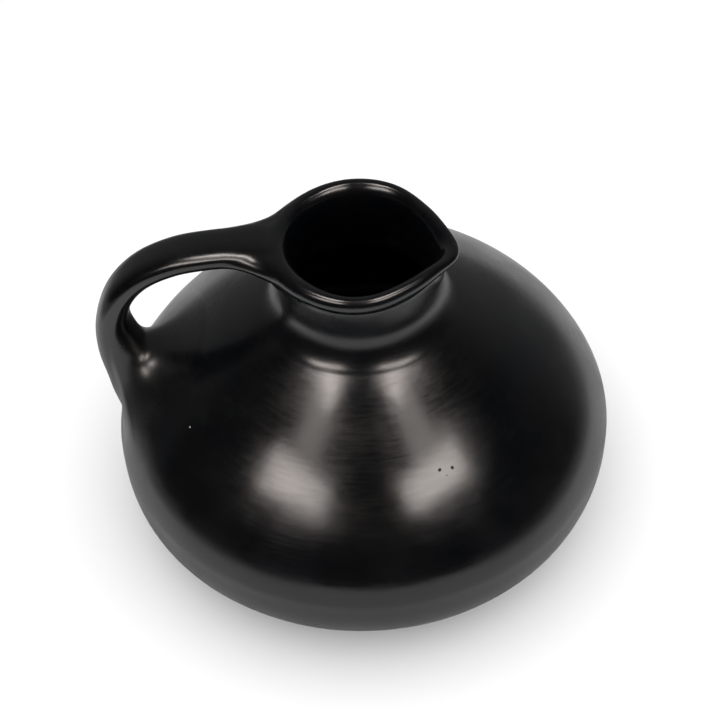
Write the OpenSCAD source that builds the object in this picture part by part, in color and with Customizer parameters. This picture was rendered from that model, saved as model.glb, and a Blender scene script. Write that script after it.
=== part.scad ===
// Squat burnished black clay jug with a short neck, a rolled lip pulled into a spout and a strap handle.
// It is built as it is on the bench: a base slab, coils joined one on another on bevelled seams, a collar,
// a lip coil, a strap and the two wads of clay that seal the strap's ends.
// The origin is the centre of the foot's underside. +Z is up and +X points at the spout.

/* [Body] */
// Outer radius at the widest part of the belly
belly_r = 85; // [80:1:92]
// Rise of the shoulder curve above the widest part
shoulder_rise = 71; // [66:1:76]
// Drop of the underside curve below the widest part
under_drop = 35; // [32:1:40]
// Radius of the flat foot
foot_r = 38; // [32:1:44]
// Thickness of the clay wall
wall = 4.5; // [4:0.25:5]

/* [Neck and lip] */
// Outer radius of the neck
neck_r = 26.3; // [25:0.1:27.5]
// Height of the lip's middle above the table
mouth_z = 116; // [114:0.5:119]
// Distance from the jug's axis to the middle of the lip, at the sides
lip_r = 26.5; // [26:0.1:27.5]
// Thickness of the rolled lip
lip_t = 5; // [4:0.25:5.5]
// Height of the rolled lip
lip_h = 6.6; // [6:0.2:7.4]
// How far the spout's tip stands out past the round of the lip
spout_pull = 3.5; // [2:0.25:5]
// How far the lip is squeezed in on both sides of the spout
spout_pinch = 1.25; // [0.5:0.25:2]

/* [Handle] */
// Width of the handle strap
strap_w = 15.5; // [13:0.5:18]
// Thickness of the handle strap
strap_t = 8; // [7:0.25:9]
// How much thicker the strap is where it meets the shoulder
root_swell = 3; // [0:0.25:3]
// Width of the wad that joins the strap to the lip
top_pad_w = 25; // [20:1:28]
// Width of the wad that joins the strap to the shoulder
root_pad_w = 26; // [20:1:30]

/* [Hidden] */

// Burnished black clay, and the same clay where the table has rubbed it
clay = [0.02, 0.02, 0.023];
rubbed_clay = [0.035, 0.034, 0.034];

// Powers of the two half ovals that make the body's outline, along the height and along the radius
shoulder_pz = 1.64;
shoulder_pr = 1.12;
under_pz = 3.3;
under_pr = 2.57;
// Height of the widest part above the table, from where the underside curve reaches the foot's radius
belly_z = under_drop * pow(1 - pow(foot_r / belly_r, under_pr), 1 / under_pz);

// Places of the seams between the coils, as heights above and below the widest part
seam_low = 15;
seam_belly = 14;
seam_mid = 36;
// Radius where the shoulder ends and the neck's hollow curve starts
crease_reach = 6.4;
crease_r = neck_r + crease_reach;
// How far each bevelled seam leans, in degrees along the wall's curve
bevel = 3;
// Points along each coil's outline
coil_steps = 14;
neck_steps = 12;

// Outline of the body. The angle a runs from -90 at the foot's middle, through 0 at the widest part, upward.
function oval(a) = a >= 0
    ? [belly_r * pow(cos(a), 2 / shoulder_pr), belly_z + shoulder_rise * pow(sin(a), 2 / shoulder_pz)]
    : [belly_r * pow(cos(a), 2 / under_pr), belly_z - under_drop * pow(sin(-a), 2 / under_pz)];
function unit(v) = v / norm(v);
function tangent(a) = unit(oval(a + 0.4) - oval(a - 0.4));
function inner(a) = oval(a) + wall * [-tangent(a)[1], tangent(a)[0]];

function angle_above(h) = asin(pow(h / shoulder_rise, shoulder_pz / 2));
function angle_below(h) = -asin(pow(h / under_drop, under_pz / 2));
foot_a = -acos(pow(foot_r / belly_r, under_pr / 2));
low_a = angle_below(seam_low);
belly_a = angle_above(seam_belly);
mid_a = angle_above(seam_mid);
crease_a = acos(pow(crease_r / belly_r, shoulder_pr / 2));

// The wall between two seams: up the outside, and back down the inside
function wall_outline(a0, a1, lean0, lean1) = concat(
    [for (i = [0:coil_steps]) oval(a0 + (a1 - a0) * i / coil_steps)],
    [for (i = [0:coil_steps]) inner(a1 + lean1 + (a0 + lean0 - a1 - lean1) * i / coil_steps)]);

module coil(a0, a1, lean0 = bevel, lean1 = bevel) {
    rotate_extrude($fn = 180)
        polygon(wall_outline(a0, a1, lean0, lean1));
}

// The neck's hollow curve meets the shoulder and the upright neck without a corner
crease_turn = 90 + atan(tangent(crease_a)[1] / tangent(crease_a)[0]);
crease_bend = (crease_r - neck_r) / (1 - cos(crease_turn));
bend_r = neck_r + crease_bend;
bend_z = oval(crease_a)[1] + crease_bend * sin(crease_turn);
neck_top = mouth_z - lip_h / 2;
neck_in = neck_r - wall;
function neck_bend(radius, t) = [bend_r - radius * cos(t), bend_z - radius * sin(t)];

module foot_disc() {
    color(rubbed_clay)
        rotate_extrude($fn = 180)
            polygon([[0, 0], oval(foot_a), inner(foot_a + bevel), [foot_r * 0.6, wall], [0, wall]]);
}

module lower_wall_coil() {
    color(clay)
        coil(foot_a, low_a);
}

module belly_coil() {
    color(clay)
        coil(low_a, belly_a);
}

module lower_shoulder_coil() {
    color(clay)
        coil(belly_a, mid_a);
}

module upper_shoulder_coil() {
    color(clay)
        coil(mid_a, crease_a, bevel, 0);
}

module neck_collar() {
    color(clay)
        rotate_extrude($fn = 120)
            polygon(concat(
                [for (i = [0:neck_steps]) neck_bend(crease_bend, crease_turn * (1 - i / neck_steps))],
                [[neck_r, neck_top], [neck_in, neck_top]],
                [for (i = [0:neck_steps]) neck_bend(crease_bend + wall, crease_turn * i / neck_steps)]));
}

// Closed skin from rings of points: rings run along the form, points run round each ring
module skin(rings, closed = false) {
    n = len(rings[0]);
    m = len(rings);
    last = closed ? m - 1 : m - 2;
    sides = [for (i = [0:last], j = [0:n - 1])
        [i * n + j, i * n + (j + 1) % n, ((i + 1) % m) * n + (j + 1) % n, ((i + 1) % m) * n + j]];
    ends = closed ? [] : [[for (j = [0:n - 1]) n - 1 - j], [for (j = [0:n - 1]) (m - 1) * n + j]];
    polyhedron(points = [for (ring = rings) for (p = ring) p], faces = concat(sides, ends), convexity = 6);
}

// Rolled lip. Round the mouth, the handle is at angle 180 and the spout points a little to one side of 0.
lip_steps = 96;
roll_steps = 12;
// Degrees the spout is turned, and degrees over which its tip, and the squeeze on both sides of it, fade
spout_turn = -8;
beak_angle = 15;
pinch_angle = 46;
pinch_spread = 22;
// Flattening of the lip where the handle joins it
handle_side_in = 0.75;
// The spout's tip is a little lower and thinner than the rest of the lip
tip_drop = 0.1;
tip_thin = 0.6;
// Angle in degrees, up from straight out, where the roll's outline starts, and how far it goes over the top
roll_start = -65;
roll_sweep = 260;
function off_spout(phi) = let (turn = phi - spout_turn) abs(turn > 180 ? turn - 360 : turn);
function bell(x) = exp(-x * x);
function beak(phi) = bell(off_spout(phi) / beak_angle);
function pinch(phi) = bell((off_spout(phi) - pinch_angle) / pinch_spread);
function handle_side(phi) = pow(max(0, -cos(phi)), 2);
function roll_r(phi) =
    lip_r + spout_pull * beak(phi) - spout_pinch * pinch(phi) - handle_side_in * handle_side(phi);
function roll_z(phi) = mouth_z - tip_drop * beak(phi);
function roll_half_h(phi) = lip_h / 2 - tip_thin * beak(phi);
function lip_point(phi, r, z) = [r * cos(phi), r * sin(phi), z];
function lip_ring(phi) = concat(
    [lip_point(phi, neck_in, neck_top), lip_point(phi, neck_r, neck_top)],
    [for (i = [0:roll_steps]) let (t = roll_start + roll_sweep * i / roll_steps)
        lip_point(phi, roll_r(phi) + lip_t / 2 * cos(t), roll_z(phi) + roll_half_h(phi) * sin(t))]);

module lip_coil() {
    color(clay)
        skin([for (i = [0:lip_steps - 1]) lip_ring(360 - 360 * i / lip_steps)], closed = true);
}

// Middle line of the strap, as distance from the jug's axis and height, from the lip to the shoulder
strap_line = [[36, 114.4], [47, 113.1], [59.3, 110.1], [71, 103.6],
    [79.6, 93.6], [84.2, 81.4], [85, 69.5], [83.5, 58]];
strap_pieces = len(strap_line) - 1;
strap_substeps = 4;
strap_around = 20;
function line_point(i) = i < 0 ? 2 * strap_line[0] - strap_line[1]
    : i > strap_pieces ? 2 * strap_line[strap_pieces] - strap_line[strap_pieces - 1]
    : strap_line[i];
// Smooth curve through the points of the middle line
function through(a, b, c, d, u) =
    0.5 * (2 * b + (c - a) * u + (2 * a - 5 * b + 4 * c - d) * u * u + (3 * b - a - 3 * c + d) * u * u * u);
function strap_mid(s) = let (i = min(floor(s), strap_pieces - 1))
    through(line_point(i - 1), line_point(i), line_point(i + 1), line_point(i + 2), s - i);
function strap_dir(s) = unit(strap_mid(min(s + 0.05, strap_pieces)) - strap_mid(max(s - 0.05, 0)));
// Rounded section of the strap: first across the strap, then through its thickness, outer side positive
squareness = 0.72;
function round_power(x) = sign(x) * pow(abs(x), squareness);
function section(j, width, thick) = let (t = 360 * j / strap_around)
    [width / 2 * round_power(cos(t)), thick / 2 * round_power(sin(t))];
// The strap swells over its last spans, and only on its inner side
swell_spans = 4;
function swell(s) = root_swell * sin(90 * max(0, 1 - (strap_pieces - s) / swell_spans));
function strap_ring(s) = let (m = strap_mid(s), d = strap_dir(s), more = swell(s))
    [for (j = [0:strap_around - 1]) let (q = section(j, strap_w, strap_t + more), n = q[1] - more / 2)
        [-(m[0] - d[1] * n), q[0], m[1] + d[0] * n]];

module handle_strap() {
    color(clay)
        skin([for (i = [0:strap_pieces * strap_substeps]) strap_ring(i / strap_substeps)]);
}

// A wad of clay swells out from the strap's end to its footprint in a hollow sweep. The footprint lies on a
// curved surface, and rings that shrink to its middle close the wad there.
pad_rings = 6;
cap_rings = 3;
cap_shrink = 0.9;
function blend(a, b, u) = a + (b - a) * u;
function sweep(u) = u * u * (1.6 - 0.6 * u);
function cap_share(i) = 1 - cap_shrink * i / cap_rings;

module pad(start, foot_rings) {
    foot = foot_rings[0];
    sides = [for (i = [0:pad_rings]) let (u = i / pad_rings, v = sweep(u))
        [for (j = [0:len(foot) - 1]) [
            blend(start[j][0], foot[j][0], u),
            blend(start[j][1], foot[j][1], v),
            blend(start[j][2], foot[j][2], v)]]];
    caps = [for (i = [1:len(foot_rings) - 1]) foot_rings[i]];
    skin(concat(sides, caps));
}

// Footprint of the upper wad, on the outer face of the lip
top_pad_h = 5;
lip_side_r = lip_r - handle_side_in;
function lip_face(y, dz) = let (bulge = lip_t / 2 * sqrt(1 - pow(dz / (lip_h / 2), 2)))
    -(lip_side_r + bulge) * sqrt(1 - pow(y / (lip_r + bulge), 2));
function top_foot(share) = [for (j = [0:strap_around - 1])
    let (q = section(j, top_pad_w, top_pad_h) * share) [lip_face(q[0], q[1]), q[0], mouth_z + q[1]]];

module handle_top_pad() {
    color(clay)
        mirror([0, 1, 0])
            pad(strap_ring(0), [for (i = [0:cap_rings]) top_foot(cap_share(i))]);
}

// Footprint of the lower wad, on the shoulder and the belly
root_low_z = belly_z - 6;
root_high_z = belly_z + 29;
root_mid_z = (root_low_z + root_high_z) / 2;
root_half_z = (root_high_z - root_low_z) / 2;
function body_r(z) = z >= belly_z
    ? belly_r * pow(1 - pow((z - belly_z) / shoulder_rise, shoulder_pz), 1 / shoulder_pr)
    : belly_r * pow(1 - pow((belly_z - z) / under_drop, under_pz), 1 / under_pr);
function body_face(y, z) = -sqrt(pow(body_r(z), 2) - y * y);
function root_foot(share) = [for (j = [0:strap_around - 1])
    let (t = 360 * j / strap_around,
        y = share * root_pad_w / 2 * cos(t),
        z = root_mid_z - share * root_half_z * sin(t))
    [body_face(y, z), y, z]];

module handle_root_pad() {
    color(clay)
        pad(strap_ring(strap_pieces), [for (i = [0:cap_rings]) root_foot(cap_share(i))]);
}

foot_disc();
lower_wall_coil();
belly_coil();
lower_shoulder_coil();
upper_shoulder_coil();
neck_collar();
lip_coil();
handle_strap();
handle_top_pad();
handle_root_pad();
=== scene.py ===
"""Looks of the burnished black clay jug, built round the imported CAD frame.

The CAD nodes are the coils, collar, lip, strap and wads of clay that the jug is made from. Each has one
finer mesh here. The meshes are cut from two continuous surfaces, the turned wall and the handle that grows
out of it, so the seams between the pieces stay burnished over as they are on the real jug.
Shapes are worked out in design millimetres, and turned into metres when a mesh is made.
+Z is up and +X points at the spout.
"""

import math

import bpy
import numpy as np
from mathutils import Matrix, Vector


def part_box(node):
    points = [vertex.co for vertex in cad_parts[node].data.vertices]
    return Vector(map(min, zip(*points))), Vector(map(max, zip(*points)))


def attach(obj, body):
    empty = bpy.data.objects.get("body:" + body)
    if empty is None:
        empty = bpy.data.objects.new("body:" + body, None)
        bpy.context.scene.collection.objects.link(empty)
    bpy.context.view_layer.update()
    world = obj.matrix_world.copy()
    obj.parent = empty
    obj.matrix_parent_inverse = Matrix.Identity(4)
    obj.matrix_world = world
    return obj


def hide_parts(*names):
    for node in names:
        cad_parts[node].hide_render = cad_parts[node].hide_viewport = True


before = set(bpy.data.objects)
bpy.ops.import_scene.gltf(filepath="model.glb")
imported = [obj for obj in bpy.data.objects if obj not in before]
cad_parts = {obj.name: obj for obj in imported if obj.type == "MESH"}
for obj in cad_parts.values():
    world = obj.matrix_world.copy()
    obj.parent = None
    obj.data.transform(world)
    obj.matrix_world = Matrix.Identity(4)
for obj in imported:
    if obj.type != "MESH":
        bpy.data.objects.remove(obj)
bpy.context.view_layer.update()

# ---------------------------------------------------------------- sizes, in design millimetres
BELLY_R = 85.0
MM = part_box("belly_coil")[1].x / BELLY_R  # metres in one design millimetre


def design(value):
    """A length of the frame, in design millimetres."""
    return value / MM


SEAM_LOW, SEAM_BELLY, SEAM_MID = 15.0, 14.0, 36.0  # seams below and above the widest part
BELLY_Z = design(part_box("belly_coil")[0].z) + SEAM_LOW
FOOT_R = design(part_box("foot_disc")[1].x)
WALL = 4.5
# The wall's outline is a squared oval above the widest part and another below it, each with its own powers
SHOULDER_RISE, UNDER_DROP = 71.0, 35.0
SHOULDER_PZ, SHOULDER_PR = 1.64, 1.12
UNDER_PZ, UNDER_PR = 3.3, 2.57
NECK_R = 26.3
CREASE_R = design(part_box("neck_collar")[1].x)
HOLLOW_RISE, HOLLOW_TIGHT, HOLLOW_SLACK = 13.0, 2.6, 7.0  # the hollow curve between shoulder and neck
ROLL_R = 26.55  # middle line of the lip's roll
LIP_HALF_T, LIP_HALF_H = 2.5, 3.3  # half the roll's thickness and height
MOUTH_Z = design(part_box("lip_coil")[1].z) - LIP_HALF_H
AROUND = 288  # points round the jug


def smooth(x, low, high):
    """0 below low, 1 above high, and an easy curve between."""
    t = np.clip((x - low) / (high - low), 0, 1)
    return t * t * (3 - 2 * t)


def bell(x):
    return np.exp(-x * x)


def unit(v):
    return v / np.linalg.norm(v, axis=-1, keepdims=True)


# ---------------------------------------------------------------- the turned wall
PHI = np.arange(AROUND) * 2 * np.pi / AROUND
OFF_SPOUT = np.degrees(np.abs(np.angle(np.exp(1j * PHI))))  # degrees away from the spout
SPOUT_TURN = -8.0  # the spout was pulled a little off the handle's line
OFF_BEAK = np.degrees(np.abs(np.angle(np.exp(1j * (PHI - math.radians(SPOUT_TURN))))))
BEAK = bell(OFF_BEAK / 15)
SLIM_BEAK = bell(OFF_BEAK / 18)
PINCH = bell((OFF_BEAK - 46) / 22)
HANDLE_SIDE = smooth(OFF_SPOUT, 92, 132)


def oval(a):
    """Outline of the wall at angles in degrees: 0 is the widest part, positive above it."""
    a = np.radians(a)
    c, s = np.cos(a), np.abs(np.sin(a))
    r = BELLY_R * np.where(a >= 0, c ** (2 / SHOULDER_PR), c ** (2 / UNDER_PR))
    rise = np.where(a >= 0, SHOULDER_RISE * s ** (2 / SHOULDER_PZ), -UNDER_DROP * s ** (2 / UNDER_PZ))
    return np.stack([r, BELLY_Z + rise], -1)


def oval_tangent(a):
    return unit(oval(a + 0.4) - oval(a - 0.4))


def inner(a):
    """The inside of the wall, square in from the outline."""
    t = oval_tangent(a)
    return oval(a) + WALL * np.stack([-t[..., 1], t[..., 0]], -1)


def angle_above(height):
    return math.degrees(math.asin((height / SHOULDER_RISE) ** (SHOULDER_PZ / 2)))


def angle_below(depth):
    return -math.degrees(math.asin((depth / UNDER_DROP) ** (UNDER_PZ / 2)))


FOOT_A = -math.degrees(math.acos((FOOT_R / BELLY_R) ** (UNDER_PR / 2)))
LOW_A, BELLY_A, MID_A = angle_below(SEAM_LOW), angle_above(SEAM_BELLY), angle_above(SEAM_MID)
CREASE_A = math.degrees(math.acos((CREASE_R / BELLY_R) ** (SHOULDER_PR / 2)))


def bezier(p0, p1, p2, p3, count):
    """Points along a cubic curve and at its ends. Each p is one point, or one per step round the jug."""
    u = np.linspace(0, 1, count)[:, None, None]
    return (1 - u) ** 3 * p0 + 3 * u * (1 - u) ** 2 * p1 + 3 * u * u * (1 - u) * p2 + u ** 3 * p3


# The collar's hollow curve is tight where it leaves the shoulder and slackens up the neck
crease, crease_way = oval(CREASE_A), oval_tangent(CREASE_A)
HOLLOW_Z = crease[1] + HOLLOW_RISE
hollow = bezier(crease, crease + HOLLOW_TIGHT * crease_way, np.array([NECK_R, HOLLOW_Z - HOLLOW_SLACK]),
                np.array([NECK_R, HOLLOW_Z]), 18)[:, 0]
hollow_way = unit(np.gradient(hollow, axis=0))
hollow_way[0], hollow_way[-1] = crease_way, (0, 1)
hollow_inside = hollow + WALL * np.stack([-hollow_way[:, 1], hollow_way[:, 0]], -1)


def round_jug(rows):
    """Rows of (radius, height) that are the same all round the jug."""
    rows = np.asarray(rows, float)
    return np.repeat(rows[:, None, :], AROUND, axis=1)


def pair(r, z):
    """One row of (radius, height), where either may change round the jug."""
    return np.stack([r + 0 * PHI, z + 0 * PHI], -1)


# The lip's roll is an ellipse. It leans out along the flanks of the spout and lies down at the tip.
roll_r = ROLL_R + 3.5 * BEAK - 1.25 * PINCH - 0.75 * HANDLE_SIDE
roll_z = MOUTH_Z - 0.1 * BEAK
roll_t = LIP_HALF_T - 0.4 * SLIM_BEAK + 0.5 * HANDLE_SIDE
roll_h = LIP_HALF_H - 0.6 * SLIM_BEAK
roll_lean = np.radians(46 * bell(OFF_BEAK / 16) + 28 * bell(OFF_BEAK / 45))


def roll(facing):
    """Where the roll faces the given angle, in degrees up from straight out, and its direction there."""
    a = np.radians(facing) + roll_lean
    c, s = np.cos(roll_lean), np.sin(roll_lean)
    t = np.arctan2(roll_h * np.sin(a), roll_t * np.cos(a))
    x, z = roll_t * np.cos(t), roll_h * np.sin(t)
    way = np.radians(facing + 90) + 0 * PHI
    place = np.stack([roll_r + c * x + s * z, roll_z - s * x + c * z], -1)
    return place, np.stack([np.cos(way), np.sin(way)], -1)


def mouth_drift(phi, z):
    """The mouth sits a little to one side of the body's axis. This is its share of the radius."""
    return -0.85 * np.sin(phi) * smooth(z, 92, 112)


# Under the roll the wall turns out to meet it: in a tight crease at the sides, in a long sweep at the spout
neck_shift = 0.45 * (roll_r - ROLL_R) + 0.2
under_z = MOUTH_Z - LIP_HALF_H - 1.0 - 6.0 * BEAK - 3.0 * HANDLE_SIDE
under_facing = -102 + 52 * BEAK + 50 * HANDLE_SIDE
INSIDE_FACING = 130.0  # the roll ends where it faces this way, and a curve goes on down the inside
INSIDE_Z = 106.0  # to this height


def neck_rows(base_r, low_z, high_z, count):
    """Rows up the upright part of the neck, which leans a little towards the roll."""
    u = np.linspace(0, 1, count)[:, None]
    z = low_z + u * (high_z - low_z) + 0 * PHI
    r = base_r + neck_shift * smooth(u, 0, 1)
    return np.stack([r, z], -1)


def lip_rows():
    up = pair(0, 1)
    top_of_neck = pair(NECK_R + neck_shift, under_z)
    start, start_way = roll(under_facing)
    reach = np.linalg.norm(start - top_of_neck, axis=-1, keepdims=True)
    under = bezier(top_of_neck, top_of_neck + 0.5 * reach * up, start - 0.42 * reach * start_way, start, 11)
    over = np.stack([roll(under_facing + (INSIDE_FACING - under_facing) * i / 28)[0] for i in range(29)])
    end, end_way = roll(INSIDE_FACING)
    foot = pair(NECK_R - WALL + neck_shift, INSIDE_Z)
    drop = np.linalg.norm(foot - end, axis=-1, keepdims=True)
    inside = bezier(end, end + 0.22 * drop * end_way, foot + 0.5 * drop * up, foot, 15)
    return np.concatenate([under, over[1:], inside[1:]])


def outside(a0, a1, count):
    return round_jug(oval(np.linspace(a0, a1, count)))


def lined(a0, a1, count):
    return round_jug(inner(np.linspace(a0, a1, count)))


# The skin runs from the middle of the foot's underside, up the outside, over the lip and down inside.
# Each run is one piece's share of the skin, and neighbours share the row between them.
LEAN = 3.0  # degrees by which a bevelled seam leans inside the wall
HOLLOW = 0.9  # depth of the shallow hollow under the foot
under_foot = [(1, HOLLOW), (8, HOLLOW), (16, HOLLOW), (23, 0.86 * HOLLOW), (27, 0.62 * HOLLOW),
              (30, 0.3 * HOLLOW), (33, 0.06 * HOLLOW), (35.5, 0), (FOOT_R, 0)]
inner_foot = inner(FOOT_A + LEAN)
runs = [
    ("foot_disc", round_jug(under_foot)),
    ("lower_wall_coil", outside(FOOT_A, LOW_A, 28)),
    ("belly_coil", outside(LOW_A, BELLY_A, 24)),
    ("lower_shoulder_coil", outside(BELLY_A, MID_A, 20)),
    ("upper_shoulder_coil", outside(MID_A, CREASE_A, 26)),
    ("neck_collar", np.concatenate([round_jug(hollow), neck_rows(NECK_R, HOLLOW_Z, under_z, 9)[1:]])),
    ("lip_coil", lip_rows()),
    ("neck_collar", np.concatenate([
        neck_rows(NECK_R - WALL, HOLLOW_Z, INSIDE_Z, 7)[::-1],
        round_jug(hollow_inside[::-1])[1:]])),
    ("upper_shoulder_coil", lined(CREASE_A, MID_A + LEAN, 16)),
    ("lower_shoulder_coil", lined(MID_A + LEAN, BELLY_A + LEAN, 12)),
    ("belly_coil", lined(BELLY_A + LEAN, LOW_A + LEAN, 14)),
    ("lower_wall_coil", lined(LOW_A + LEAN, FOOT_A + LEAN, 16)),
    ("foot_disc", round_jug([inner_foot, (inner_foot[0] * 0.86, WALL + 0.3), (inner_foot[0] * 0.6, WALL),
                             (inner_foot[0] * 0.3, WALL), (1, WALL)])),
]


def join_runs():
    """All rows as one array of (radius, height), and the first and last row of each run."""
    rows, spans = [], []
    for name, run in runs:
        if rows:
            run = run[1:]
        first = max(len(rows) - 1, 0)
        rows.extend(run)
        spans.append((name, first, len(rows) - 1))
    return np.array(rows), spans


skin, spans = join_runs()
centred_skin = skin.copy()
skin[..., 0] += mouth_drift(PHI, skin[..., 1])


def skin_points(rows):
    return np.stack([rows[..., 0] * np.cos(PHI), rows[..., 0] * np.sin(PHI), rows[..., 1]], -1)


def grid_normals(points):
    """Outward normals of a grid of points that is closed round the jug."""
    along = np.gradient(points, axis=0)
    around = np.roll(points, -1, axis=1) - np.roll(points, 1, axis=1)
    return unit(np.cross(around, along))


def undulation(points):
    """Slow unevenness that a beaten and scraped wall keeps under its burnish, in millimetres."""
    x, y, z = np.moveaxis(points, -1, 0)
    waves = ((0.052, 0.031, 0.047, 0.4), (-0.071, 0.066, -0.022, 2.1), (0.018, -0.094, 0.081, 4.0),
             (0.11, 0.042, -0.105, 1.3), (-0.05, -0.128, -0.062, 5.2), (0.145, -0.07, 0.12, 3.1))
    total = sum(np.sin(a * x + b * y + c * z + d) / (1 + 9 * math.hypot(a, b, c)) for a, b, c, d in waves)
    return 0.07 * total


wall_points = skin_points(skin)
clear_of_handle = smooth(180 - OFF_SPOUT, 44, 64)
on_body = smooth(wall_points[..., 2], 2, 14) * smooth(-wall_points[..., 2], -HOLLOW_Z, 22 - HOLLOW_Z)
lift = undulation(wall_points) * on_body * clear_of_handle
wall_points = wall_points + grid_normals(wall_points) * lift[..., None]
wall_normals = grid_normals(wall_points)
wall_normals[0] = (0, 0, -1)
wall_normals[-1] = (0, 0, 1)


# ---------------------------------------------------------------- making meshes
def band(rows):
    """Faces between rows of vertex numbers that are closed round the form."""
    low, high = rows[:-1], rows[1:]
    return np.stack([low, np.roll(low, -1, 1), np.roll(high, -1, 1), high], -1).reshape(-1, 4).tolist()


def make_piece(node, points, normals, shown, hidden, material):
    """A mesh that stands for a CAD node. Shown faces take the skin's own normals, hidden ones are flat."""
    mesh = bpy.data.meshes.new(node + "_clay")
    mesh.from_pydata((points * MM).tolist(), [], shown + hidden)
    mesh.polygons.foreach_set("use_smooth", [True] * len(mesh.polygons))
    mesh.update()
    corner = np.zeros(len(mesh.loops), int)
    mesh.loops.foreach_get("vertex_index", corner)
    loop_normals = normals[corner].astype(float)
    at = sum(len(face) for face in shown)
    for face in mesh.polygons[len(shown):]:
        loop_normals[at:at + face.loop_total] = face.normal
        at += face.loop_total
    mesh.normals_split_custom_set(loop_normals.tolist())
    mesh.materials.append(material)
    piece = bpy.data.objects.new(node + "_clay", mesh)
    bpy.context.scene.collection.objects.link(piece)
    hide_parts(node)
    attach(piece, "root")


def make_wall_piece(node, material):
    """Closes the runs of the skin that belong to a node with its seam faces."""
    mine = [(first, last) for name, first, last in spans if name == node]
    points, normals, shown, hidden, grids = [], [], [], [], []
    start = 0
    for first, last in mine:
        count = last - first + 1
        points.append(wall_points[first:last + 1].reshape(-1, 3))
        normals.append(wall_normals[first:last + 1].reshape(-1, 3))
        grids.append(start + np.arange(count * AROUND).reshape(count, AROUND))
        shown += band(grids[-1])
        start += count * AROUND
    if node == "foot_disc":
        shown.append(grids[0][0][::-1].tolist())
        shown.append(grids[1][-1].tolist())
        hidden += band(np.stack([grids[0][-1], grids[1][0]]))
    elif len(grids) == 1:
        hidden += band(np.stack([grids[0][-1], grids[0][0]]))
    else:
        hidden += band(np.stack([grids[0][-1], grids[1][0]]))
        hidden += band(np.stack([grids[1][-1], grids[0][0]]))
    make_piece(node, np.concatenate(points), np.concatenate(normals), shown, hidden, material)


# ---------------------------------------------------------------- the handle
# Middle line of the strap: distance from the jug's axis towards -X, and height. Both ends run into the clay.
STRAP_LINE = [(27, 114.75), (31.5, 114.6), (36, 114.4), (47, 113.1), (59.3, 110.1), (71, 103.6),
              (79.6, 93.6), (84.2, 81.4), (85, 69.5), (83.5, 58), (81.8, 48), (78.4, 38), (72.4, 29)]
STRAP_HALF_W, STRAP_HALF_T = 7.75, 4.0
ROOT_SWELL = 3.0
SECTION_POWER = 2.5  # 2 would be an ellipse, and more is squarer
STRAP_AROUND = 72  # points round the strap
TOP_START_S = 50.0  # the strap gives way to its top pad this far from the jug's axis
ROOT_START_Z = 78.0  # and to its root pad at this height
PAD_ROWS = 37
RIM_SHARE = 0.85  # how far over the fillet's reach a pad's rim lies
PROUD = 0.035  # lift that keeps the thin edge of a pad clear of the wall's facets


def smooth_line(points, steps):
    """A curve through the points, with an even number of steps between each two."""
    p = np.array(points, float)
    p = np.concatenate([[2 * p[0] - p[1]], p, [2 * p[-1] - p[-2]]])
    line = []
    for i in range(1, len(p) - 2):
        for u in np.arange(steps) / steps:
            a, b, c, d = p[i - 1:i + 3]
            line.append(0.5 * (2 * b + (c - a) * u + (2 * a - 5 * b + 4 * c - d) * u * u
                               + (3 * b - a - 3 * c + d) * u ** 3))
    line.append(p[-2])
    return np.array(line)


def even_line(line, step):
    length = np.concatenate([[0], np.cumsum(np.linalg.norm(np.diff(line, axis=0), axis=1))])
    at = np.linspace(0, length[-1], int(length[-1] / step) + 1)
    return np.stack([np.interp(at, length, line[:, k]) for k in (0, 1)], -1)


strap = even_line(smooth_line(STRAP_LINE, 24), 0.7)
strap_way = unit(np.gradient(strap, axis=0))
strap_out = np.stack([-strap_way[:, 1], strap_way[:, 0]], -1)
strap_s, strap_z = strap[:, 0], strap[:, 1]
# The strap spreads a little at both ends
half_w = STRAP_HALF_W + 1.9 * smooth(-strap_s, -44, -30) + 1.2 * smooth(-strap_z, -60, -38) * (strap_s > 60)
half_t = STRAP_HALF_T + ROOT_SWELL / 2 * smooth(-strap_z, -112, -74) * (strap_s > 60)
strap = strap - (half_t - STRAP_HALF_T)[:, None] * strap_out  # the swelling is all on the inner side

# Outline of the wall where the handle stands on it, and its outward normals
handle_column = AROUND // 2
outline = centred_skin[spans[0][2]:spans[7][1] + 1, handle_column]
outline = even_line(smooth_line(outline, 4), 0.5)
outline_way = unit(np.gradient(outline, axis=0))
outline_out = np.stack([outline_way[:, 1], -outline_way[:, 0]], -1)


def nearest(line, q):
    """For each point q, the nearest place on a line: segment number, share along it, and the place."""
    start, step = line[:-1], np.diff(line, axis=0)
    rel = q[:, None, :] - start[None]
    share = np.clip((rel * step).sum(-1) / (step * step).sum(-1), 0, 1)
    gap = rel - share[..., None] * step
    index = np.argmin((gap * gap).sum(-1), axis=1)
    pick = np.arange(len(q))
    return index, share[pick, index], start[index] + share[pick, index, None] * step[index]


def mix_at(values, index, share):
    """Values read off between the points of a line, where nearest() found a place."""
    share = share if values.ndim == 1 else share[:, None]
    return values[index] * (1 - share) + values[index + 1] * share


def wall_gap(p):
    """Distance of points from the wall's outside, positive in the open air."""
    drift = mouth_drift(np.arctan2(p[:, 1], p[:, 0]), p[:, 2])
    q = np.stack([np.hypot(p[:, 0], p[:, 1]) - drift, p[:, 2]], -1)
    near = np.nonzero((outline[:, 1] > q[:, 1].min() - 14) & (outline[:, 1] < q[:, 1].max() + 14))[0]
    line, out = outline[near[0]:near[-1] + 1], outline_out[near[0]:near[-1] + 1]
    index, share, place = nearest(line, q)
    return ((q - place) * unit(mix_at(out, index, share))).sum(-1)


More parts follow.
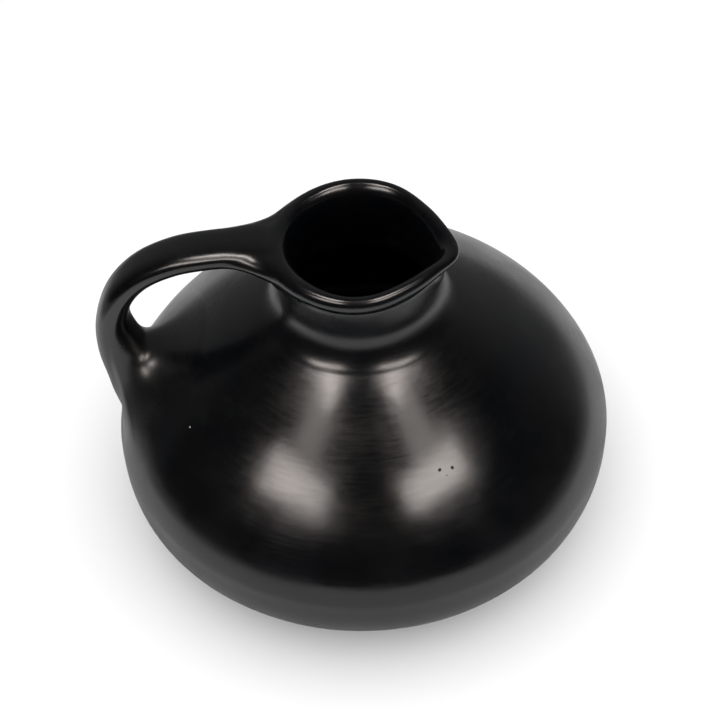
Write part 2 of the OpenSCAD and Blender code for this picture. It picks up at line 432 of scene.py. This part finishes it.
def strap_gap(p):
    """Distance from the strap's skin, and which way a point lies: 1 is its outer side, -1 its under."""
    q = np.stack([-p[:, 0], p[:, 2]], -1)
    index, share, place = nearest(strap, q)
    off = q - place
    out = (off * unit(mix_at(strap_out, index, share))).sum(-1)
    thick = np.linalg.norm(off, axis=1) + 1e-9
    w, t = mix_at(half_w, index, share), mix_at(half_t, index, share)
    y = np.abs(p[:, 1]) + 1e-9
    g = ((y / w) ** SECTION_POWER + (thick / t) ** SECTION_POWER) ** (1 / SECTION_POWER)
    slope = g ** (1 - SECTION_POWER) * np.hypot((y / w) ** (SECTION_POWER - 1) / w,
                                                (thick / t) ** (SECTION_POWER - 1) / t)
    return (g - 1) / slope, out / np.sqrt(out * out + y * y + 1)


# Reach of the fillets between strap and wall, on the strap's underside, sides and outer side
LIP_FILLET = (19.0, 21.0, 4.0)
ROOT_FILLET = (42.0, 30.0, 3.0)
MOUTH_FILLET = 1.2  # inside the mouth the strap's end is only rounded off


def fillet(out, p):
    """Reach of the fillet at points p, for the way round the strap that out tells."""
    share = smooth(p[:, 2], 74, 94)
    under, side, outer = (low + (high - low) * share for low, high in zip(ROOT_FILLET, LIP_FILLET))
    reach = side + (under - side) * smooth(-out, 0, 1) + (outer - side) * smooth(out, -0.1, 0.5)
    return MOUTH_FILLET + (reach - MOUTH_FILLET) * smooth(np.hypot(p[:, 0], p[:, 1]), 24.0, 29.0)


def handle_field(p):
    """Zero on the skin of the wall and the handle together, positive in the open air."""
    a = wall_gap(p)
    b, out = strap_gap(p)
    k = fillet(out, p)
    h = np.clip(k - np.abs(a - b), 0, None) / k
    return np.minimum(a, b) - h ** 3 * k / 6


def slope_of(field, p, step=0.02):
    """How fast a field grows along x, y and z at each point."""
    return np.stack([(field(p + d) - field(p - d)) / (2 * step) for d in np.eye(3) * step], -1)


def settle(field, p, rounds=4):
    """Moves points square onto the surface where the field is zero."""
    shape, step = p.shape, 0.02
    p = p.reshape(-1, 3)
    for _ in range(rounds):
        here = field(p)
        g = np.stack([(field(p + d) - here) / step for d in np.eye(3) * step], -1)
        p = p - g * (here / (g * g).sum(-1))[:, None]
    return p.reshape(shape)


def relax(field, rows, rounds):
    """Evens out a grid of points that lie on a surface. Its first and last rows stay."""
    for _ in range(rounds):
        middle = rows[1:-1]
        near = rows[:-2] + rows[2:] + np.roll(middle, 1, axis=1) + np.roll(middle, -1, axis=1)
        rows[1:-1] = settle(field, 0.3 * middle + 0.175 * near, 1)
    rows[1:-1] = settle(field, rows[1:-1], 2)
    return rows


angles = np.arange(STRAP_AROUND) * 2 * np.pi / STRAP_AROUND


def strap_ring(i):
    """Points round the strap at place i of its middle line, from its side and over the outside."""
    c, s = np.cos(angles), np.sin(angles)
    power = 2 / SECTION_POWER
    y = half_w[i] * np.sign(c) * np.abs(c) ** power
    n = half_t[i] * np.sign(s) * np.abs(s) ** power
    q = strap[i] + n[:, None] * strap_out[i]
    return np.stack([-q[:, 0], y, q[:, 1]], -1)


strap_rings = np.stack([strap_ring(i) for i in range(len(strap))])


def even_rings(rings):
    """Spreads the points of each ring evenly round it, which a squarish section doesn't do by itself."""
    done = []
    for ring in rings:
        loop = np.concatenate([ring, ring[:1]])
        length = np.concatenate([[0], np.cumsum(np.linalg.norm(np.diff(loop, axis=0), axis=1))])
        at = np.arange(STRAP_AROUND) * length[-1] / STRAP_AROUND
        done.append(np.stack([np.interp(at, length, loop[:, k]) for k in range(3)], -1))
    return np.array(done)


strap_rings = even_rings(strap_rings)


def pad_rows(i_start, way):
    """Rows of points from the strap's ring i_start to the rim of its pad. way is -1 towards the lip."""
    order = np.arange(i_start, -1 if way < 0 else len(strap), way)
    lines = strap_rings[order]
    gaps = wall_gap(lines.reshape(-1, 3)).reshape(len(order), -1)
    corner = np.empty((STRAP_AROUND, 3))
    for j in range(STRAP_AROUND):
        under = np.nonzero(gaps[:, j] < 0)[0]
        n = under[0] if len(under) else len(order) - 1
        share = gaps[n - 1, j] / (gaps[n - 1, j] - gaps[n, j])
        corner[j] = lines[n - 1, j] * (1 - share) + lines[n, j] * share
    rim = settle(wall_gap, corner)
    # The rim creeps out over the wall, as far as its share of the fillet's reach
    for _ in range(110):
        b, out = strap_gap(rim)
        reach = fillet(out, rim) * RIM_SHARE
        g, n = slope_of(lambda p: strap_gap(p)[0], rim), unit(slope_of(wall_gap, rim))
        side = unit(g - (g * n).sum(-1)[:, None] * n)
        rim = rim + side * np.clip(reach - b, 0, 0.3)[:, None]
        rim = settle(wall_gap, rim, 1)
    for _ in range(4):
        rim = settle(wall_gap, 0.5 * rim + 0.25 * (np.roll(rim, 1, axis=0) + np.roll(rim, -1, axis=0)), 2)
    start = settle(handle_field, lines[0])
    u = np.linspace(0, 1, PAD_ROWS)[:, None, None]
    rows = (1 - u) ** 2 * start + 2 * u * (1 - u) * corner + u * u * rim
    rows[1:-1] = settle(handle_field, rows[1:-1])
    rows = relax(handle_field, rows, 16)
    proud = PROUD * smooth(np.arange(float(PAD_ROWS)), 12, 26)
    outward = unit(slope_of(handle_field, rows.reshape(-1, 3))).reshape(rows.shape)
    return rows + proud[:, None, None] * outward


def field_normals(p):
    """Normals of the wall and handle's common skin, so that no seam shows in the shine."""
    return unit(slope_of(handle_field, p.reshape(-1, 3), 0.25)).reshape(p.shape)


def flip(rows):
    """The same rows with the points running the other way round, so that faces look outward."""
    return rows[:, ::-1]


def make_handle_piece(node, rows, sunk, material, turned):
    """Closed piece from rows of points. sunk rings go on into the clay at the rim, out of sight.

    turned is for rows that run down the handle, and reverses their rings so that the faces look outward.
    """
    if turned:
        rows, sunk = flip(rows), flip(sunk) if len(sunk) else sunk
    normals = field_normals(rows)
    shown_grid = np.arange(rows.shape[0] * STRAP_AROUND).reshape(-1, STRAP_AROUND)
    points, all_normals = rows, normals
    hidden = []
    if len(sunk):
        points = np.concatenate([rows, sunk])
        all_normals = np.concatenate([normals, np.repeat(normals[-1:], len(sunk), axis=0)])
        grid = np.arange(points.shape[0] * STRAP_AROUND).reshape(-1, STRAP_AROUND)
        hidden += band(grid[rows.shape[0] - 1:])
    else:
        grid = shown_grid
    shown = band(shown_grid)
    hidden.append(grid[0][::-1].tolist())
    hidden.append(grid[-1].tolist())
    make_piece(node, points.reshape(-1, 3), all_normals.reshape(-1, 3), shown, hidden, material)


def sink(rows):
    """Pulls the last row just under the wall's skin, and returns rings that close the piece in the wall."""
    inward = -unit(slope_of(wall_gap, rows[-1]))
    rows[-1] += 0.06 * inward
    rim = rows[-1] + 1.2 * inward
    radius, height = np.hypot(rim[:, 0], rim[:, 1]), rim[:, 2]
    turn = np.arctan2(rim[:, 1], -rim[:, 0])
    middle_z = (height.min() + height.max()) / 2
    near = np.abs(height - middle_z) < 3
    middle_r = radius[near].mean()
    rings = []
    for s in (0.0, 0.3, 0.6, 0.9):
        r, t, z = (1 - s) * radius + s * middle_r, (1 - s) * turn, (1 - s) * height + s * middle_z
        rings.append(np.stack([-r * np.cos(t), r * np.sin(t), z], -1))
    return np.array(rings)


# ---------------------------------------------------------------- materials
def put(tree, kind, options, inputs):
    """Adds a shader node. options are its settings, and inputs are values or the outputs that feed it."""
    node = tree.nodes.new("ShaderNode" + kind)
    for name, value in options.items():
        setattr(node, name, value)
    for name, value in inputs.items():
        if isinstance(value, bpy.types.NodeSocket):
            tree.links.new(value, node.inputs[name])
        else:
            node.inputs[name].default_value = value
    return node.outputs


def noise(tree, where, scale, detail=2.0, roughness=0.5):
    """Cloudy noise from about 0.2 to 0.8. A larger scale makes it finer."""
    inputs = {"Vector": where, "Scale": scale, "Detail": detail, "Roughness": roughness}
    return put(tree, "TexNoise", {}, inputs)[0]


def maths(tree, operation, a, b=0.0):
    return put(tree, "Math", {"operation": operation}, {0: a, 1: b})[0]


def spread(tree, value, low, high, to_low, to_high):
    """Carries a value smoothly from one range over to another."""
    return put(tree, "MapRange", {"interpolation_type": "SMOOTHSTEP"},
               {0: value, 1: low, 2: high, 3: to_low, 4: to_high})[0]


def tint(tree, share, a, b):
    return put(tree, "Mix", {"data_type": "RGBA"}, {0: share, 6: a, 7: b})[2]


def either(tree, share, a, b):
    """The number a where share is 0, and b where it is 1."""
    return put(tree, "Mix", {"data_type": "FLOAT"}, {0: share, 2: a, 3: b})[0]


def specks(tree, where, scale, size, amount):
    """Scattered round spots: 1 inside, 0 outside. size is in metres, and amount is the share of cells."""
    cells = put(tree, "TexVoronoi", {}, {"Vector": where, "Scale": scale})
    chance = put(tree, "SeparateColor", {}, {0: cells["Color"]})
    chosen = maths(tree, "LESS_THAN", chance[0], amount)
    width = maths(tree, "MULTIPLY", chance[1], size * scale)
    share = maths(tree, "DIVIDE", cells["Distance"], width)
    return maths(tree, "MULTIPLY", chosen, spread(tree, share, 0.7, 1, 1, 0))


def on_wall(turn, height):
    """A place on the outside of the wall, from degrees round the jug and height in design millimetres."""
    r = np.interp(height, *oval(np.linspace(LOW_A, CREASE_A, 400)).T[::-1])
    return Vector((r * math.cos(math.radians(turn)), r * math.sin(math.radians(turn)), height)) * MM


def spot(tree, where, place, size):
    """1 at a place on the jug and 0 from size metres away."""
    far = put(tree, "VectorMath", {"operation": "DISTANCE"}, {0: where, 1: place})[1]
    return spread(tree, far, 0.5 * size, size, 1, 0)


def jug_places(tree):
    """Places on the jug, their height and radius in metres, and a way round it that marks can follow."""
    where = put(tree, "TexCoord", {}, {})["Object"]
    axes = put(tree, "SeparateXYZ", {}, {0: where})
    flat = put(tree, "CombineXYZ", {}, {0: axes[0], 1: axes[1], 2: 0.0})[0]
    radius = put(tree, "VectorMath", {"operation": "LENGTH"}, {0: flat})[1]
    radius = maths(tree, "MAXIMUM", radius, 0.001)
    climb = maths(tree, "SUBTRACT", axes[2], maths(tree, "MULTIPLY", radius, 0.7))
    around = put(tree, "CombineXYZ", {}, {0: maths(tree, "DIVIDE", axes[0], radius),
                                          1: maths(tree, "DIVIDE", axes[1], radius),
                                          2: maths(tree, "MULTIPLY", climb, 170.0)})[0]
    return where, axes[2], radius, around


def ripple(tree, height, depth, below=None):
    """Bumps depth metres high, laid over the bumps below."""
    inputs = {"Height": height, "Distance": depth, "Strength": 1.0}
    if below:
        inputs["Normal"] = below
    return put(tree, "Bump", {}, inputs)[0]


def new_material(name):
    mat = bpy.data.materials.new(name)
    mat.use_nodes = True
    return mat, mat.node_tree, mat.node_tree.nodes["Principled BSDF"]


PITS = ((-64, 68.6, 0.55), (-60, 68, 0.6), (-62.5, 67, 0.3))  # degrees round, height and size in millimetres
TEAR = 0.0008  # how far, in metres, the pits' edges wander
DUST = ((-148.5, 64.6, 0.4), (-171, 70.6, 0.3))


def burnished_clay():
    """Black clay rubbed to a soft shine with a stone, duller in the corners the stone can't reach."""
    mat, tree, shader = new_material("burnished_black_clay")
    where, height, radius, around = jug_places(tree)
    cloud = noise(tree, where, 26, 4.0, 0.55)
    colour = tint(tree, spread(tree, cloud, 0.38, 0.66, 0, 1), COOL_BLACK, WARM_BLACK)
    smoke = spread(tree, noise(tree, where, 75, 5.0, 0.6), 0.56, 0.74, 0, 1)
    colour = tint(tree, smoke, colour, SMOKE_GREY)
    pits = specks(tree, where, 85, 0.0003, 0.012)
    tear = put(tree, "TexNoise", {}, {"Vector": where, "Scale": 1500.0})["Color"]
    torn = put(tree, "VectorMath", {"operation": "MULTIPLY_ADD"}, {0: tear, 1: [TEAR] * 3, 2: where})[0]
    for turn, up, size in PITS:
        middle = on_wall(turn, up) + Vector([TEAR / 2] * 3)
        pits = maths(tree, "MAXIMUM", pits, spot(tree, torn, middle, size * MM))
    colour = tint(tree, pits, colour, (0.0008, 0.0008, 0.0008, 1))
    dust = specks(tree, where, 60, 0.00016, 0.02)
    for turn, up, size in DUST:
        dust = maths(tree, "MAXIMUM", dust, spot(tree, where, on_wall(turn, up), size * MM))
    colour = tint(tree, dust, colour, DUST_GREY)
    tree.links.new(colour, shader.inputs["Base Color"])

    neck = maths(tree, "MULTIPLY", spread(tree, height, 84 * MM, 94 * MM, 0, 1),
                 spread(tree, height, 105 * MM, 111 * MM, 1, 0))
    neck = maths(tree, "MULTIPLY", neck, spread(tree, radius, 32 * MM, 44 * MM, 1, 0))
    strokes = noise(tree, around, 6.0, 3.0, 0.6)
    shine = maths(tree, "ADD", spread(tree, noise(tree, where, 60, 3.0), 0.3, 0.7, -0.025, 0.035),
                  spread(tree, strokes, 0.3, 0.7, -0.02, 0.02))
    thumbed = spot(tree, where, on_wall(180, 60), 30 * MM)
    dull = maths(tree, "ADD", maths(tree, "MULTIPLY", neck, 0.03), maths(tree, "MULTIPLY", thumbed, 0.09))
    dull = maths(tree, "ADD", dull, maths(tree, "MULTIPLY", maths(tree, "MAXIMUM", pits, dust), 0.5))
    # The rub marks scatter the light that skims the clay, so its edges mirror less than glass would
    edge = put(tree, "LayerWeight", {}, {"Blend": 0.5})["Facing"]
    dull = maths(tree, "ADD", dull, spread(tree, edge, 0.4, 0.9, 0, 0.11))
    rough = maths(tree, "ADD", maths(tree, "ADD", shine, dull), 0.2)
    tree.links.new(rough, shader.inputs["Roughness"])
    shader.inputs["IOR"].default_value = 1.5
    low_down = spread(tree, height, 26 * MM, 50 * MM, 0.6, 1)
    mirror = maths(tree, "MULTIPLY", spread(tree, edge, 0.42, 0.9, 0.5, 0.1), low_down)
    tree.links.new(mirror, shader.inputs["Specular IOR Level"])

    bumps = ripple(tree, noise(tree, where, 110, 2.0), 0.00004)
    bumps = ripple(tree, strokes, 0.000007, bumps)
    bumps = ripple(tree, noise(tree, where, 1100, 3.0, 0.65), 0.000007, bumps)
    bumps = ripple(tree, maths(tree, "SUBTRACT", 1.0, pits), 0.00025, bumps)
    tree.links.new(bumps, shader.inputs["Normal"])
    return mat


def rubbed_clay():
    """The same clay under the foot, never burnished and rubbed matt and grey by the table."""
    mat, tree, shader = new_material("rubbed_black_clay")
    where, _, radius, around = jug_places(tree)
    worn = spread(tree, maths(tree, "ADD", noise(tree, where, 90, 5.0, 0.65),
                              spread(tree, radius, 30 * MM, 37 * MM, 0, 0.12)), 0.4, 0.7, 0, 1)
    colour = tint(tree, worn, (0.006, 0.006, 0.0065, 1), (0.035, 0.033, 0.031, 1))
    colour = tint(tree, specks(tree, where, 260, 0.0004, 0.12), colour, (0.1, 0.095, 0.085, 1))
    tree.links.new(colour, shader.inputs["Base Color"])
    tree.links.new(spread(tree, worn, 0, 1, 0.5, 0.78), shader.inputs["Roughness"])
    shader.inputs["IOR"].default_value = 1.5
    bumps = ripple(tree, noise(tree, where, 420, 4.0, 0.7), 0.00012)
    bumps = ripple(tree, noise(tree, around, 9.0, 3.0), 0.00006, bumps)
    tree.links.new(bumps, shader.inputs["Normal"])
    return mat


COOL_BLACK, WARM_BLACK = (0.0003, 0.0006, 0.0013, 1), (0.0011, 0.001, 0.001, 1)
SMOKE_GREY, DUST_GREY = (0.0022, 0.0026, 0.003, 1), (0.3, 0.29, 0.27, 1)
burnished = burnished_clay()
rubbed = rubbed_clay()

# ---------------------------------------------------------------- pieces
for node in ("lower_wall_coil", "belly_coil", "lower_shoulder_coil", "upper_shoulder_coil",
             "neck_collar", "lip_coil"):
    make_wall_piece(node, burnished)
make_wall_piece("foot_disc", rubbed)

TOP_START = int(np.argmin(np.abs(strap_s - TOP_START_S)))
low_end = strap_z[::-1][:130]  # counted back from the root, so that only the lower limb is searched
ROOT_START = len(strap) - 1 - int(np.argmin(np.abs(low_end - ROOT_START_Z)))
strap_rows = strap_rings[TOP_START:ROOT_START + 1].copy()
for end in (slice(0, 30), slice(-20, None)):  # the rest is clear of the fillets
    strap_rows[end] = settle(handle_field, strap_rows[end])
top_rows = pad_rows(TOP_START, -1)
root_rows = pad_rows(ROOT_START, 1)
top_sunk, root_sunk = sink(top_rows), sink(root_rows)
make_handle_piece("handle_strap", strap_rows, [], burnished, turned=True)
make_handle_piece("handle_top_pad", top_rows, top_sunk, burnished, turned=False)
make_handle_piece("handle_root_pad", root_rows, root_sunk, burnished, turned=True)

# ---------------------------------------------------------------- camera
EYE_TURN, EYE_RISE, EYE_ROLL = math.radians(3), math.radians(50), math.radians(2.09)
EYE_FAR = 8.265 * BELLY_R * MM
target = Vector((0, 0, BELLY_Z * MM))
EYE_SIDE = Vector((math.cos(EYE_TURN), math.sin(EYE_TURN), 0))
EYE_AWAY = Vector((-math.sin(EYE_TURN), math.cos(EYE_TURN), 0))
back = Vector((0, 0, math.sin(EYE_RISE))) - EYE_AWAY * math.cos(EYE_RISE)
eye = bpy.data.cameras.new("eye")
eye.lens, eye.sensor_width = 100, 36
eye.shift_x, eye.shift_y = -0.0046056, 0.0679083  # the jug stands a little below the middle
camera = bpy.data.objects.new("eye", eye)
camera.location = target + back * EYE_FAR
camera.rotation_mode = "QUATERNION"
facing = (-back).to_track_quat("-Z", "Y")
camera.rotation_quaternion = facing @ Matrix.Rotation(-EYE_ROLL, 3, "Z").to_quaternion()
bpy.context.scene.collection.objects.link(camera)
bpy.context.scene.camera = camera


# ---------------------------------------------------------------- floor and light
def sweep_with_painted_shade():
    """White paper with painted shade: its colour darkens far from the jug, where the studio's light falls
    off.
    """
    mat, tree, shader = new_material("sweep_with_painted_shade")
    where = put(tree, "TexCoord", {}, {})["Object"]
    where = put(tree, "VectorMath", {"operation": "MULTIPLY"}, {0: where, 1: (1.5, 0.8, 1)})[0]
    far = spread(tree, put(tree, "VectorMath", {"operation": "LENGTH"}, {0: where})[1], 0.29, 0.42, 0, 1)
    # Painted shade: the paper's colour runs from near white by the jug to dark grey far off, in place of the
    # light falling off.
    colour = tint(tree, far, (0.88, 0.88, 0.88, 1), (0.25, 0.25, 0.25, 1))
    tree.links.new(colour, shader.inputs["Base Color"])
    shader.inputs["Roughness"].default_value = 0.9
    shader.inputs["Specular IOR Level"].default_value = 0.0
    return mat


def lay_floor(radius, corners=96):
    turns = [i * 2 * math.pi / corners for i in range(corners)]
    mesh = bpy.data.meshes.new("floor")
    rim = [(radius * math.cos(t), radius * math.sin(t), 0) for t in turns]
    mesh.from_pydata(rim, [], [list(range(corners))])
    mesh.materials.append(sweep_with_painted_shade())
    floor = bpy.data.objects.new("floor", mesh)
    bpy.context.scene.collection.objects.link(floor)


lay_floor(0.42)

PANEL_FAR = 1.3
PANEL_TINT = (1.03, 0.945, 0.895)  # the studio lights are warm


def panel(name, azimuth, elevation, wide, high, radiance):
    """A soft light. Its azimuth is from the camera's side of the jug to the right. Angles are degrees."""
    a, e = math.radians(azimuth), math.radians(elevation)
    way = (EYE_SIDE * math.sin(a) - EYE_AWAY * math.cos(a)) * math.cos(e) + Vector((0, 0, math.sin(e)))
    light = bpy.data.lights.new(name, "AREA")
    light.shape = "RECTANGLE"
    light.size = 2 * PANEL_FAR * math.tan(math.radians(wide) * math.cos(e) / 2)
    light.size_y = 2 * PANEL_FAR * math.tan(math.radians(high) / 2)
    light.color = PANEL_TINT
    light.energy = radiance * math.pi * light.size * light.size_y
    lamp = bpy.data.objects.new(name, light)
    lamp.location = target + way * PANEL_FAR
    lamp.rotation_mode = "QUATERNION"
    lamp.rotation_quaternion = way.to_track_quat("Z", "Y")
    lamp.visible_camera = False
    lamp.visible_diffuse = False
    bpy.context.scene.collection.objects.link(lamp)


for side, sign in (("left", -1), ("right", 1)):
    panel(side + "_low_panel", sign * 39.5, 39.4 + sign, 38 + sign, 11.4, 10.8)
    panel(side + "_high_panel", sign * 57, 66.6, 56, 10.1, 16.2)
    panel(side + "_link_panel", sign * 42, 53, 22, 11, 3.4)


def light_room():
    """The camera sees white, and the jug mirrors a dim room. Soft light from all round fills the floor."""
    world = bpy.data.worlds.new("studio")
    bpy.context.scene.world = world
    world.use_nodes = True
    tree = world.node_tree
    way = put(tree, "TexCoord", {}, {})["Generated"]
    behind = put(tree, "VectorMath", {"operation": "DOT_PRODUCT"}, {0: way, 1: EYE_AWAY})["Value"]
    mirrored = spread(tree, behind, 0, 0.8, 0.02, 0.22)
    filling = spread(tree, behind, -1, 1, 1.6, 1.2)
    path = put(tree, "LightPath", {}, {})
    light = either(tree, path["Is Glossy Ray"], filling, mirrored)
    sky = tree.nodes["Background"]
    sky.inputs["Color"].default_value = (1, 1, 1, 1)
    tree.links.new(either(tree, path["Is Camera Ray"], light, 1.0), sky.inputs["Strength"])


light_room()
bpy.context.scene.view_settings.view_transform = "Standard"
